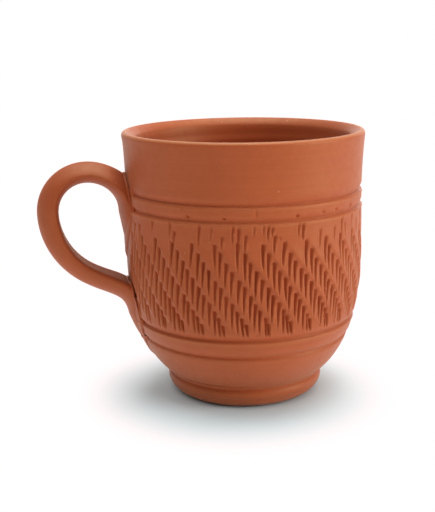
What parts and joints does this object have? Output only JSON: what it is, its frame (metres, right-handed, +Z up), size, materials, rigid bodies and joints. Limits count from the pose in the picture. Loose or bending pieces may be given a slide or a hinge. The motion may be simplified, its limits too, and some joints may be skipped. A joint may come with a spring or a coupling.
{
  "type": "clay cup",
  "caption": "Unglazed clay drinking cup with a pulled loop handle, a flared collar, a carved band between turned grooves and a low rounded foot.",
  "frame": {"origin": "centre of the foot's flat underside, on the axis that the cup was thrown on", "axes": "+Z up along the axis of the cup, -X from the axis to the handle"},
  "size_m": [0.1136, 0.084, 0.093],
  "materials": {
    "thrown_clay": "matte, unglazed, lightly burnished",
    "foot_clay": "matte, unglazed",
    "pulled_clay": "matte, unglazed, wiped smooth",
    "luting_slip": "matte, wiped"
  },
  "bodies": {
    "root": {"cup_body": "thrown_clay", "foot_disc": "foot_clay", "foot_slip": "luting_slip", "handle": "pulled_clay", "upper_handle_slip": "luting_slip", "lower_handle_slip": "luting_slip"}
  },
  "joints": []
}
